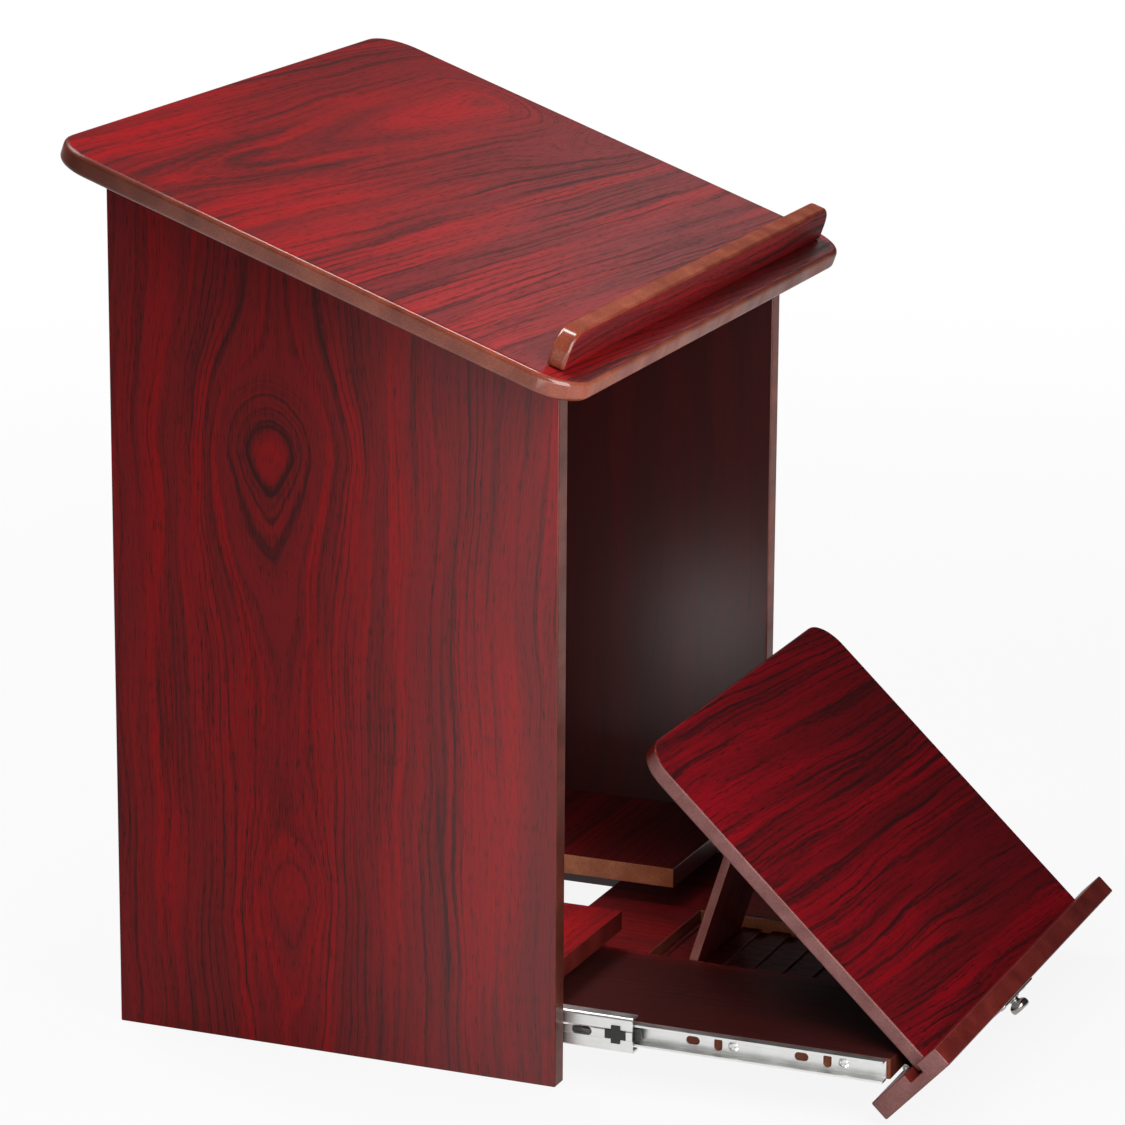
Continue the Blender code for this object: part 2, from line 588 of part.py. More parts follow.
def build_stand():
    stand = empty("stand", None, (0, ORIGIN_Y, 0))
    panels = build_cabinet(stand)
    build_top(stand, panels)
    runners = empty("slide_runners", stand)
    tray = empty("tray", runners)
    build_slides(stand, runners, tray)
    build_tray(tray)
    pivot = empty("rest_pivot", tray, (0, REST_PIVOT_Y, REST_PIVOT_Z), REST_ANGLE)
    build_rest(pivot)
    build_pull(pivot)
    leg = empty("leg_pivot", pivot, (0, LEG_PIVOT_ALONG, REST_UNDERSIDE - LEG_PIVOT_DROP), LEG_ANGLE)
    build_leg(leg)
    build_hinges(tray, pivot, leg)


build_stand()
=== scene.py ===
import math

import bmesh
import bpy
from mathutils import Matrix, Vector


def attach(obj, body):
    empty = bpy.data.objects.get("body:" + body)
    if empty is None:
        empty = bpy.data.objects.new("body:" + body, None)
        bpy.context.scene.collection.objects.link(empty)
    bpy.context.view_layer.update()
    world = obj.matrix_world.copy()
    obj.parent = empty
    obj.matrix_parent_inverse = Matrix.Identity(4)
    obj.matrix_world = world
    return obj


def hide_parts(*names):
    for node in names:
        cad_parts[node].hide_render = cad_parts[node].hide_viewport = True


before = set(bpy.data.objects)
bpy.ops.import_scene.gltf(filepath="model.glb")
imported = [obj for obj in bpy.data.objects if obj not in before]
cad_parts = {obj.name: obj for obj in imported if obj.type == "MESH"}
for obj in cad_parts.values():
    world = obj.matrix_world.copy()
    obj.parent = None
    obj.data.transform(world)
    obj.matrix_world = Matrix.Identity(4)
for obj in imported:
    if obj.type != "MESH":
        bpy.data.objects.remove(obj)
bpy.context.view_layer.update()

scene = bpy.context.scene
scene.view_settings.view_transform = "Standard"


def shift(x=0.0, y=0.0, z=0.0):
    return Matrix.Translation((x, y, z))


def tilt(angle):
    return Matrix.Rotation(angle, 4, "X")


def facingOf(at, axis):
    return tuple(at.to_3x3() @ Vector(axis))


# where the pieces sit: the stand, the sloped top, the raised rest and its leg
stand = {"back": 0.1046, "low": 0.405, "depth": 0.270, "slope": 19.65, "restFront": -0.3220, "restHigh": 0.022,
         "restTilt": 43.3, "legBack": 0.17305, "legHigh": 0.01345, "legTilt": 63.9}
topTurn, restTurn, legTurn = (math.radians(stand[key]) for key in ("slope", "restTilt", "legTilt"))
standAt = shift(y=stand["back"])
topAt = standAt @ shift(z=stand["low"] + stand["depth"] / 2 * math.tan(topTurn)) @ tilt(topTurn)
restAt = standAt @ shift(y=stand["restFront"], z=stand["restHigh"]) @ tilt(restTurn)
legAt = restAt @ shift(y=stand["legBack"], z=stand["legHigh"]) @ tilt(legTurn)
upright = Matrix(((0, 0, 1, 0), (1, 0, 0, 0), (0, 1, 0, 0), (0, 0, 0, 1)))    # outline in yz, thick along x
standing = Matrix(((1, 0, 0, 0), (0, 0, -1, 0), (0, 1, 0, 0), (0, 0, 0, 1)))    # outline in xz, thick towards -y


# shader sockets that can be added, multiplied and so on
class Wire:
    def __init__(self, tree, socket=None):
        self.tree = tree
        self.socket = socket

    def node(self, kind, settings=None, inputs=None, out=0):
        made = self.tree.nodes.new("ShaderNode" + kind)
        for key, value in (settings or {}).items():
            if key == "stops":
                elements = made.color_ramp.elements
                while len(elements) < len(value):
                    elements.new(0.5)
                for element, (place, color) in zip(elements, value):
                    element.position = place
                    element.color = (*color, 1)
            else:
                setattr(made, key, value)
        for key, value in (inputs or {}).items():
            if isinstance(value, Wire):
                self.tree.links.new(value.socket, made.inputs[key])
            else:
                made.inputs[key].default_value = value
        return Wire(self.tree, made.outputs[out])

    def other(self, name):
        return Wire(self.tree, self.socket.node.outputs[name])

    def math(self, operation, first, second=0.0):
        return self.node("Math", {"operation": operation}, {0: first, 1: second})

    def __add__(self, value):
        return self.math("ADD", self, value)

    __radd__ = __add__

    def __sub__(self, value):
        return self.math("SUBTRACT", self, value)

    def __rsub__(self, value):
        return self.math("SUBTRACT", value, self)

    def __mul__(self, value):
        return self.math("MULTIPLY", self, value)

    __rmul__ = __mul__

    def __truediv__(self, value):
        return self.math("DIVIDE", self, value)

    def __rtruediv__(self, value):
        return self.math("DIVIDE", value, self)

    def __abs__(self):
        return self.math("ABSOLUTE", self)

    def __pow__(self, value):
        return self.math("POWER", self, value)


def newMaterial(name):
    finish = bpy.data.materials.new(name)
    finish.use_nodes = True
    tree = finish.node_tree
    return finish, Wire(tree), tree.nodes["Principled BSDF"]


def feed(wire, shader, name):
    wire.tree.links.new(wire.socket, shader.inputs[name])


def objectAxes(wire):
    split = wire.node("SeparateXYZ", None, {"Vector": wire.node("TexCoord", out="Object")})
    return split.other("X"), split.other("Y"), split.other("Z")


def fade(value, low, high):    # 0 at low, 1 at high
    return value.node("MapRange", {"interpolation_type": "SMOOTHSTEP"},
                      {"Value": value, "From Min": low, "From Max": high, "To Min": 0.0, "To Max": 1.0})


def blur(u, v, seed, detail=2.0, rough=0.5):    # noise over two directions
    at = u.node("CombineXYZ", None, {"X": u, "Y": v, "Z": seed})
    return u.node("TexNoise", None, {"Vector": at, "Scale": 1.0, "Detail": detail, "Roughness": rough})


def stripes(phase, sharp):    # one line for each whole number
    return (phase.math("COSINE", phase * math.tau) * 0.5 + 0.5) ** sharp


def ramp(factor, stops):
    return factor.node("ValToRGB", {"stops": stops}, {"Fac": factor})


def mixColor(factor, first, second):
    colors = [c if isinstance(c, Wire) else (*c, 1.0) for c in (first, second)]
    return factor.node("Mix", {"data_type": "RGBA"}, {0: factor, 6: colors[0], 7: colors[1]}, out=2)


def clampLow(value, low):
    return value.math("MAXIMUM", value, low)


def clampHigh(value, high):
    return value.math("MINIMUM", value, high)


laminate = {
    "red": (0.270, 0.0062, 0.0080),
    "brown": (0.158, 0.0086, 0.0100),
    "line": (0.040, 0.0070, 0.0072),
    # inside: colour of the painted shade that the dim side of a board turns towards
    "inside": (0.021, 0.0074, 0.0066),
}

# the book rest's print, deeper red and darker than the other boards': the darkening is painted shade, as the rest
# sees less light
crimsonShaded = {
    "red": (0.205, 0.0030, 0.0075),
    "brown": (0.104, 0.0040, 0.0064),
    "line": (0.028, 0.0046, 0.0054),
    "inside": laminate["inside"],
}

# stains on the cut edges: dark, middle and light; mauve, dark, rose and amber are painted light and shade on the
# brown
stains = {
    "brown": [(0.110, 0.0210, 0.0120), (0.200, 0.0450, 0.0240), (0.310, 0.0850, 0.0450)],
    # mauve: the brown greyed by a painted sheen
    "mauve": [(0.115, 0.0440, 0.0410), (0.180, 0.0760, 0.0710), (0.250, 0.1150, 0.1060)],
    # dark: a shaded copy of the brown, painted shade
    "dark": [(0.045, 0.0100, 0.0070), (0.085, 0.0200, 0.0130), (0.140, 0.0380, 0.0250)],
    "wine": [(0.055, 0.0065, 0.0055), (0.110, 0.0120, 0.0095), (0.170, 0.0230, 0.0170)],
    # rose and amber: lit copies of the brown, painted light
    "rose": [(0.280, 0.0900, 0.0760), (0.420, 0.1560, 0.1330), (0.560, 0.2450, 0.2100)],
    "amber": [(0.230, 0.0620, 0.0270), (0.400, 0.1250, 0.0560), (0.600, 0.2300, 0.1150)],
}

# layers of the printed figure: repeats a metre across and along it, step of the seed, detail, roughness
grain = {
    "sway": (6, 2.2, 0, 2.0, 0.5),
    "ripple": (30, 10, 3, 2.0, 0.5),
    "knotOutline": (22, 12, 41, 1.0, 0.5),
    "knotWaver": (110, 80, 43, 1.0, 0.5),
    "knotTurns": (70, 40, 47, 1.0, 0.5),
    "patch": (60, 3.4, 9, 2.0, 0.5),
    "band": (150, 3.2, 5, 2.0, 0.55),
    "streak": (560, 6.0, 7, 2.0, 0.6),
    "ringShift": (36, 1.8, 31, 1.0, 0.5),
    "ringShow": (26, 4.0, 33, 1.0, 0.5),
    "fibre": (1100, 38, 13, 3.0, 0.7),
    "pore": (1500, 110, 17, 1.0, 0.5),
}

# finish of a printed board, of which a piece changes what it needs
boardFinish = {
    "colors": laminate,
    "knots": (),           # side, end, half width, reach above and below, radius of the heart
    "axis": 0.0,           # line that the figure mirrors about
    "slant": 0.0,          # of the figure across the board
    "wander": 1.0,         # how far its lines sway
    "depth": 1.0,          # of its dark lines
    "stain": "brown",      # of the cut edges
    "ends": None,          # lighter stain of the edges that face sideways, where given: painted light and sheen on them
    "shadedEdges": None,          # across the board, where its edges are bright and where dull and darker: painted shade on their stain
    "mirrored": False,     # shaded alike to both sides
    "dim": None,           # side that sees little light, and how much darker it is
    "dimAlong": None,      # where that starts and is full, along the board
    "dimAcross": None,     # and across it
    "luster": 0.11,        # gloss of the board itself
    "lacquer": 0.6,        # clear coat on the cut edges
    "caps": 0.0,           # more of it on those that face sideways
    "sheen": 0.06,         # clear coat on the dim side
    "polish": None,        # clear coat on the face: where it starts and is full, and how much
    "gloss": 0.12,         # roughness of the coat
}


def grainLayer(kind, u, v, seed):
    fineAcross, fineAlong, step, detail, rough = grain[kind]
    return blur(u * fineAcross, v * fineAlong, seed + step, detail, rough)


# the figure's lines bend round knots and wander a little
def figureLines(u, v, seed, look):
    wander = look["wander"]
    drift = (grainLayer("sway", u, v, seed) - 0.5) * (0.036 * wander)
    drift = drift + (grainLayer("ripple", u, v, seed) - 0.5) * (0.0075 * wander) + v * look["slant"]
    bent = u + drift
    spread = abs(bent - look["axis"])
    if not look["knots"]:
        return bent, spread, None, None
    uneven = grainLayer("knotOutline", u, v, seed) * (0.5 * wander) + (1.0 - 0.25 * wander)
    waver = (grainLayer("knotWaver", u, v, seed) - 0.5) * (0.06 * wander)
    inner = eye = None
    for side, end, wide, above, below, heart in look["knots"]:
        gap = v - end
        up = clampLow(gap, 0.0) / above
        down = clampLow(gap * -1.0, 0.0) / below
        off = (bent - side) / wide
        reach = ((off * off + up * up) ** 0.85 + (down ** 1.05) * 0.84) ** 0.588    # round above, pointed below
        reach = clampLow(reach * uneven + waver, 0.0)
        reach = reach * reach
        spread = spread * (1.0 - 1.0 / clampLow(reach, 1.0))
        ring = (clampHigh(reach, 1.0) ** 0.5) * wide
        inner = ring if inner is None else inner + ring - wide
        if heart:
            core = ring / heart
            eye = core if eye is None else clampHigh(core, eye)
    return bent, spread + inner, inner, eye


# dark figure on the red print, with the fibres and pores that also give its relief
def figureColor(u, v, seed, look):
    colors = look["colors"]
    bent, lines, inner, eye = figureLines(u, v, seed, look)
    patch, band, streak = (grainLayer(kind, lines, v, seed) for kind in ("patch", "band", "streak"))
    fibre, pore = (grainLayer(kind, bent, v, seed) for kind in ("fibre", "pore"))
    rings = stripes(lines * 165 + grainLayer("ringShift", lines, v, seed) * 5.0, 6.0)
    strong = fade(grainLayer("ringShow", lines, v, seed), 0.38, 0.62)
    if eye is not None:    # the rings show best round a knot
        strong = clampLow(strong, fade(eye, 3.2, 2.4))
    base = mixColor(fade(patch, 0.40, 0.68), colors["brown"], colors["red"])
    dark = fade(band, 0.48, 0.70) * 0.50 + rings * strong * 0.60 + (streak - 0.48) * 1.25 + (fibre - 0.5) * 1.5
    if eye is not None:    # a red heart in a dark rim, and fine turns round it
        base = mixColor(fade(eye, 1.3, 0.8) * 0.5, base, colors["red"])
        rim = fade(eye, 0.85, 1.2) * fade(eye, 1.9, 1.3)
        dark = dark * (0.35 + fade(eye, 0.75, 1.05) * 0.65) + rim * 0.24
        turns = stripes(inner * 420 + grainLayer("knotTurns", u, v, seed) * 2.0, 3.0)
        dark = dark + turns * fade(eye, 0.9, 1.15) * fade(eye, 3.0, 1.8) * 0.30
    dark = dark * look["depth"] + fade(pore, 0.55, 0.67) * 0.46
    dark = clampHigh(clampLow(dark, 0.0), 1.0)
    return mixColor(dark, base, colors["line"]), dark, fibre, pore


# cut edges: fibreboard under a stain, and painted light on those that face sideways where a lighter stain is given
def edgeColor(local, sideways, look):
    grit = local.node("TexNoise", None, {"Vector": local, "Scale": 1100.0, "Detail": 2.0, "Roughness": 0.7})
    blotch = local.node("TexNoise", None, {"Vector": local, "Scale": 55.0, "Detail": 3.0, "Roughness": 0.5})
    mottle = grit * 0.45 + blotch * 0.55
    places = (0.30, 0.50, 0.70)
    edge = ramp(mottle, list(zip(places, stains[look["stain"]])))
    # painted light: the edges that face sideways take the lighter stain
    if look["ends"]:
        edge = mixColor(fade(sideways, 0.55, 0.85), edge, ramp(mottle, list(zip(places, stains[look["ends"]]))))
    return edge, grit


# printed mahogany on the faces of a board and stain on its cut edges, with painted light and shade where its finish
# asks for it
def mahogany(name, at, turn, along, across, facing, seed, **changes):
    look = {**boardFinish, **changes}
    finish, wire, shader = newMaterial(name)
    local = wire.node("Mapping", {"vector_type": "TEXTURE"},
                      {"Vector": wire.node("TexCoord", out="Object"), "Location": at.to_translation(),
                       "Rotation": (turn, 0, 0)})
    split = wire.node("SeparateXYZ", None, {"Vector": local})
    v, u = split.other(along), split.other(across)
    normal = wire.node("TexCoord", out="Normal")
    sideways = abs(wire.node("SeparateXYZ", None, {"Vector": normal}))
    towards = wire.node("VectorMath", {"operation": "DOT_PRODUCT"}, {0: normal, 1: facing}, out="Value")
    edgeMask = 1.0 - fade(abs(towards), 0.78, 0.95)

    face, dark, fibre, pore = figureColor(u, v, seed, look)
    edge, grit = edgeColor(local, sideways, look)
    lacquer, caps = look["lacquer"], look["caps"]
    # painted shade: towards one side the edges darken, and their coat thins
    if look["shadedEdges"]:
        edgeShade = fade(abs(u) if look["mirrored"] else u, *look["shadedEdges"])
        edge = mixColor(edgeShade * 0.75, edge, stains["dark"][1])
        lacquer, caps = (1.0 - edgeShade) * lacquer, (1.0 - edgeShade) * caps
    shade = 0.0
    # painted shade: the side that sees little light is darkened towards the 'inside' colour
    if look["dim"]:
        side, amount = look["dim"]
        shade = fade(towards * side, 0.5, 0.9) * amount
        if look["dimAlong"]:
            shade = shade * fade(v, *look["dimAlong"])
        if look["dimAcross"]:
            shade = shade * fade(u, *look["dimAcross"])
        face = mixColor(shade * (1.0 - dark * 0.3), face, look["colors"]["inside"])
    feed(mixColor(edgeMask, face, edge), shader, "Base Color")

    feed(0.36 + dark * 0.10 + (pore - 0.5) * 0.05 - edgeMask * 0.06, shader, "Roughness")
    coat = edgeMask * (fade(sideways, 0.2, 0.5) * caps + lacquer) + shade * look["sheen"]
    if look["polish"]:
        start, full, amount = look["polish"]
        coat = coat + fade(u, start, full) * (1.0 - edgeMask) * (1.0 - shade) * amount
    feed(coat, shader, "Coat Weight")
    height = (fibre * -0.35 - pore * 0.4) * (1.0 - edgeMask) + edgeMask * grit * 0.3
    feed(wire.node("Bump", None, {"Strength": 0.10, "Distance": 0.0004, "Height": height}), shader, "Normal")
    shader.inputs["Specular IOR Level"].default_value = look["luster"]
    shader.inputs["Coat Roughness"].default_value = look["gloss"]
    return finish


sharpTurn = 0.7    # edges that turn by more, in radians, are rounded


def extrude(shape, faces, by):
    grown = bmesh.ops.extrude_face_region(shape, geom=faces)["geom"]
    bmesh.ops.translate(shape, verts=[g for g in grown if isinstance(g, bmesh.types.BMVert)], vec=by)
    bmesh.ops.recalc_face_normals(shape, faces=shape.faces[:])


def roundEdges(shape, edges, offset, steps):
    bmesh.ops.bevel(shape, geom=edges, offset=offset, segments=steps, profile=0.5, affect="EDGES", material=-1)


# corners of a rectangle, with the radius of its near and of its far pair
def rectangle(half, near, far, nearRadius=0.0, farRadius=0.0):
    return [(-half, near, nearRadius), (half, near, nearRadius), (half, far, farRadius), (-half, far, farRadius)]


# flat board from a ring of corners: (x, y, radius), then its thickness along z
def boardShape(corners, thickness, edge, steps):
    shape = bmesh.new()
    ring = [shape.verts.new((x, y, 0)) for x, y, _ in corners]
    shape.faces.new(ring)
    for vert, (_, _, radius) in zip(ring, corners):
        if radius > 0:
            bmesh.ops.bevel(shape, geom=[vert], offset=radius, segments=10, profile=0.5, affect="VERTICES",
                            material=-1)
    extrude(shape, shape.faces[:], (0, 0, thickness))
    rims = [e for e in shape.edges if abs(e.verts[0].co.z - e.verts[1].co.z) < 1e-7]
    posts = [e for e in shape.edges if e not in rims and e.calc_face_angle(0) > sharpTurn]
    roundEdges(shape, rims + posts, edge, steps)
    return shape


# bar from a closed profile in yz, run along x to both sides of the middle
def barShape(profile, half, edge, steps):
    shape = bmesh.new()
    cap = shape.faces.new([shape.verts.new((-half, y, z)) for y, z in profile])
    extrude(shape, [cap], (half * 2, 0, 0))
    roundEdges(shape, [e for e in shape.edges if e.calc_face_angle_signed(0) > sharpTurn], edge, steps)
    return shape


# solid turned about z from a profile of (radius, height)
def turnedShape(profile, steps):
    shape = bmesh.new()
    ring = [shape.verts.new((radius, 0, height)) for radius, height in profile]
    lathe = ring + [shape.edges.new(pair) for pair in zip(ring, ring[1:])]
    bmesh.ops.spin(shape, geom=lathe, axis=(0, 0, 1), cent=(0, 0, 0), angle=math.tau, steps=steps, use_merge=True)
    bmesh.ops.remove_doubles(shape, verts=shape.verts[:], dist=1e-6)
    bmesh.ops.recalc_face_normals(shape, faces=shape.faces[:])
    return shape


def boxShape(low, high):
    shape = bmesh.new()
    bmesh.ops.create_cube(shape, size=1.0)
    bmesh.ops.scale(shape, vec=Vector(high) - Vector(low), verts=shape.verts[:])
    bmesh.ops.translate(shape, vec=(Vector(high) + Vector(low)) / 2, verts=shape.verts[:])
    return shape


# cut one shape out of another
def carve(shape, tool):
    holders = []
    for part in (shape, tool):
        mesh = bpy.data.meshes.new("carving")
        part.to_mesh(mesh)
        holder = bpy.data.objects.new("carving", mesh)
        scene.collection.objects.link(holder)
        holders.append(holder)
    cut = holders[0].modifiers.new("cut", "BOOLEAN")
    cut.object = holders[1]
    cut.operation = "DIFFERENCE"
    cut.solver = "EXACT"
    done = bpy.data.meshes.new_from_object(holders[0].evaluated_get(bpy.context.evaluated_depsgraph_get()))
    shape.clear()
    shape.from_mesh(done)
    tool.free()
    for holder in holders:
        bpy.data.meshes.remove(holder.data)    # takes its object along
    bpy.data.meshes.remove(done)


# screw head with a cross recess, its seat at z = 0 and its rim sunk a little below
def screwShape(radius, tall, sunk=0.0002):
    shape = turnedShape([(0, tall), (radius * 0.45, tall * 0.97), (radius * 0.78, tall * 0.72), (radius, tall * 0.2),
                         (radius, -sunk), (0, -sunk)], 28)
    reach, half, floor = radius * 0.62, radius * 0.13, tall * 0.35
    carve(shape, boxShape((-reach, -half, floor), (reach, half, tall * 2)))
    carve(shape, boxShape((-half, -reach, floor), (half, reach, tall * 2)))
    return shape


def addPiece(name, shape, at, finish, body, nodes=()):
    bmesh.ops.transform(shape, matrix=at, verts=shape.verts[:])
    mesh = bpy.data.meshes.new(name)
    for face in shape.faces:
        face.smooth = True
    shape.to_mesh(mesh)
    shape.free()
    mesh.set_sharp_from_angle(angle=math.radians(42))
    piece = bpy.data.objects.new(name, mesh)
    scene.collection.objects.link(piece)
    mesh.materials.append(finish)
    even = piece.modifiers.new("evenNormals", "WEIGHTED_NORMAL")
    even.keep_sharp = True
    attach(piece, body)
    if nodes:
        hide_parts(*nodes)


print("stage 1: side panels")
sidePanel = {"thick": 0.012, "width": 0.346, "edge": 0.0008, "gap": 0.0003, "seeds": {"left": 2.0, "right": 41.0},
             # the left panel's cut edges take the dark stain, painted shade, the right's the plain brown; the inner
             # faces are darkened, painted shade
             "stains": {"left": "dark", "right": "brown"},
             "finish": {"knots": [(0.140, 0.342, 0.031, 0.042, 0.090, 0.0100),
                                  (0.1315, 0.088, 0.017, 0.036, 0.050, 0)],
                        "axis": 0.1355, "gloss": 0.28, "lacquer": 0.0, "sheen": 0.8, "polish": (0.14, -0.03, 0.8)}}
half = stand["depth"] / 2
low = stand["low"] - sidePanel["gap"]
high = stand["low"] + stand["depth"] * math.tan(topTurn) - sidePanel["gap"]
for side, sign in (("left", -1), ("right", 1)):
    shape = boardShape([(-half, 0, 0), (half, 0, 0), (half, high, 0), (-half, low, 0)],
                       sidePanel["thick"], sidePanel["edge"], 3)
    near = -sidePanel["width"] / 2 if sign < 0 else sidePanel["width"] / 2 - sidePanel["thick"]
    finish = mahogany(f"panelLaminate{side.title()}", Matrix(), 0, "Z", "Y", (1, 0, 0), sidePanel["seeds"][side],
                      stain=sidePanel["stains"][side], dim=(-sign, 0.9), **sidePanel["finish"])
    addPiece(f"sidePanel_{side}", shape, standAt @ shift(x=near) @ upright, finish, "cabinet",
             [f"side_panel_{side}"])

print("stage 2: top board and book stop")
topBoard = {"half": 0.218, "front": -0.1687, "back": 0.1586, "thick": 0.012, "corner": 0.025, "edge": 0.0032,
            # its edges darken and dull towards the back: painted shade
            "finish": {"knots": [(0.080, 0.176, 0.046, 0.050, 0.600, 0), (0.012, 0.222, 0.018, 0.050, 0.050, 0)],
                       "axis": 0.078, "slant": 0.07, "wander": 0.35, "depth": 1.25, "gloss": 0.13, "lacquer": 0.0,
                       "caps": 1.0, "luster": 0.13, "shadedEdges": (0.04, 0.16)}}
shape = boardShape(rectangle(topBoard["half"], topBoard["front"], topBoard["back"], topBoard["corner"],
                             topBoard["corner"]), topBoard["thick"], topBoard["edge"], 5)
finish = mahogany("topLaminate", topAt, topTurn, "X", "Y", facingOf(topAt, (0, 0, 1)), 11.0, **topBoard["finish"])
addPiece("topBoard", shape, topAt, finish, "cabinet", ["top_board"])

bookStop = {"half": 0.203, "tall": 0.022, "thick": 0.011, "front": -0.143, "foot": 0.0123, "corner": 0.013,
            "edge": 0.0022, "finish": {"gloss": 0.16, "lacquer": 0.0, "caps": 1.0, "luster": 0.01}}
shape = boardShape(rectangle(bookStop["half"], 0, bookStop["tall"], 0, bookStop["corner"]),
                   bookStop["thick"], bookStop["edge"], 4)
finish = mahogany("stopLaminate", topAt, topTurn, "X", "Z", facingOf(topAt, (0, 1, 0)), 17.0, **bookStop["finish"])
addPiece("bookStop", shape, topAt @ shift(y=bookStop["front"], z=bookStop["foot"]) @ standing, finish, "cabinet",
         ["book_stop"])

print("stage 3: shelf")
shelf = {"inside": 0.1607, "front": -0.122, "back": 0.1257, "notch": 0.041, "notchEnd": 0.040, "notchCorner": 0.006,
         "top": 0.0603, "thick": 0.012, "edge": 0.0006,
         # amber on its sideways edges is painted light, and its top darkens towards the right, painted shade
         "finish": {"stain": "wine", "ends": "amber", "lacquer": 0.2, "dim": (1, 0.36), "dimAlong": (-0.03, 0.03)}}
inside, notch, corner = shelf["inside"], shelf["notch"], shelf["notchCorner"]
front, end, back = shelf["front"], shelf["notchEnd"], shelf["back"]
shape = boardShape([(-inside, front, 0), (-notch, front, 0), (-notch, end, corner), (notch, end, corner),
                    (notch, front, 0), (inside, front, 0), (inside, back, 0), (-inside, back, 0)],
                   shelf["thick"], shelf["edge"], 2)
finish = mahogany("shelfLaminate", Matrix(), 0, "X", "Y", (0, 0, 1), 23.0, **shelf["finish"])
addPiece("shelf", shape, standAt @ shift(z=shelf["top"] - shelf["thick"]), finish, "cabinet", ["shelf"])

print("stage 4: tray and rack")
tray = {"half": 0.1485, "front": -0.3218, "back": -0.075, "low": 0.0246, "thick": 0.012, "edge": 0.0006,
        "windowHalf": 0.042, "windowFront": -0.284, "windowBack": -0.139,
        # amber on its sideways edges is painted light; its top darkens on the left strip and its edges towards the
        # sides, painted shade
        "finish": {"ends": "amber", "dim": (1, 0.9), "dimAcross": (-0.036, -0.056), "shadedEdges": (0.06, 0.10),
                   "mirrored": True}}
shape = bmesh.new()
rings = []
for corners in (rectangle(tray["half"], tray["front"], tray["back"]),
                rectangle(tray["windowHalf"], tray["windowFront"], tray["windowBack"])):
    ring = [shape.verts.new((x, y, 0)) for x, y, _ in corners]
    rings += [shape.edges.new((ring[i], ring[(i + 1) % 4])) for i in range(4)]
bmesh.ops.bridge_loops(shape, edges=rings)
extrude(shape, shape.faces[:], (0, 0, tray["thick"]))
roundEdges(shape, [e for e in shape.edges if e.calc_face_angle(0) > sharpTurn], tray["edge"], 2)
finish = mahogany("trayLaminate", Matrix(), 0, "Y", "X", (0, 0, 1), 29.0, **tray["finish"])
addPiece("trayBoard", shape, standAt @ shift(z=tray["low"]), finish, "tray", ["tray_board"])

# the rack's top is darkened, painted shade
rack = {"half": 0.0417, "front": -0.2837, "back": -0.1393, "thick": 0.0054, "foot": -0.1633, "pitch": 0.0182,
        "wide": 0.0066, "deep": 0.002, "ahead": 6, "behind": 1, "edge": 0.0003, "finish": {"dim": (1, 0.35)}}
top, floor = tray["low"] + rack["thick"], tray["low"] + rack["thick"] - rack["deep"]
profile = [(rack["back"], top), (rack["back"], tray["low"]), (rack["front"], tray["low"]), (rack["front"], top)]
for count in range(rack["ahead"], -rack["behind"] - 1, -1):    # grooves for the leg's foot
    middle = rack["foot"] - count * rack["pitch"]
    near, far = middle - rack["wide"] / 2, middle + rack["wide"] / 2
    profile += [(near, top), (near, floor), (far, floor), (far, top)]
finish = mahogany("rackLaminate", Matrix(), 0, "Y", "X", (0, 0, 1), 31.0, **rack["finish"])
addPiece("rackBoard", barShape(profile, rack["half"], rack["edge"], 2), standAt, finish, "tray", ["rack_board"])

print("stage 5: book rest and its front board")
rest = {"half": 0.1442, "near": -0.0057, "far": 0.2245, "under": 0.0151, "thick": 0.009, "corner": 0.020,
        # its print is the darker crimson, partly painted shade, and mauve on its sideways edges a painted sheen
        "edge": 0.0014, "finish": {"axis": -0.3, "colors": crimsonShaded, "stain": "wine", "ends": "mauve",
                                   "lacquer": 0.25, "slant": 0.05, "depth": 1.3, "luster": 0.03}}
shape = boardShape(rectangle(rest["half"], rest["near"], rest["far"], 0, rest["corner"]),
                   rest["thick"], rest["edge"], 4)
finish = mahogany("restLaminate", restAt, restTurn, "X", "Y", facingOf(restAt, (0, 0, 1)), 37.0, **rest["finish"])
addPiece("restPanel", shape, restAt @ shift(z=rest["under"]), finish, "book_rest", ["rest_panel"])

frontBoard = {"half": 0.1585, "back": -0.0005, "thick": 0.012, "tall": 0.0513, "lip": 0.0155, "grooveDeep": 0.0055,
              "slack": 0.0003, "edge": 0.0009, "pocketAt": 0.095, "pocketHalf": 0.028, "pocketFloor": -0.0031,
              "pocketLow": 0.0016, "pocketTop": 0.0031, "pocketOpen": 0.004,
              # mauve on its sideways edges is a painted sheen
              "finish": {"stain": "wine", "ends": "mauve", "lacquer": 0.12}}
lip = rest["under"] + rest["thick"] + frontBoard["lip"]
foot = lip - frontBoard["tall"]
back, front = frontBoard["back"], frontBoard["back"] - frontBoard["thick"]
low, high = rest["under"] - frontBoard["slack"], rest["under"] + rest["thick"] + frontBoard["slack"]
floor = back - frontBoard["grooveDeep"]
profile = [(front, foot), (back, foot), (back, low), (floor, low), (floor, high), (back, high), (back, lip),
           (front, lip)]
shape = barShape(profile, frontBoard["half"], frontBoard["edge"], 3)
wide, start = frontBoard["pocketHalf"], foot + frontBoard["pocketLow"]
for sign in (-1, 1):    # pockets for the hinge leaves
    middle = sign * frontBoard["pocketAt"]
    carve(shape, boxShape((middle - wide, frontBoard["pocketFloor"], start),
                          (middle + wide, back + frontBoard["pocketOpen"], frontBoard["pocketTop"])))
finish = mahogany("frontLaminate", restAt, restTurn, "X", "Z", facingOf(restAt, (0, 1, 0)), 43.0,
                  **frontBoard["finish"])
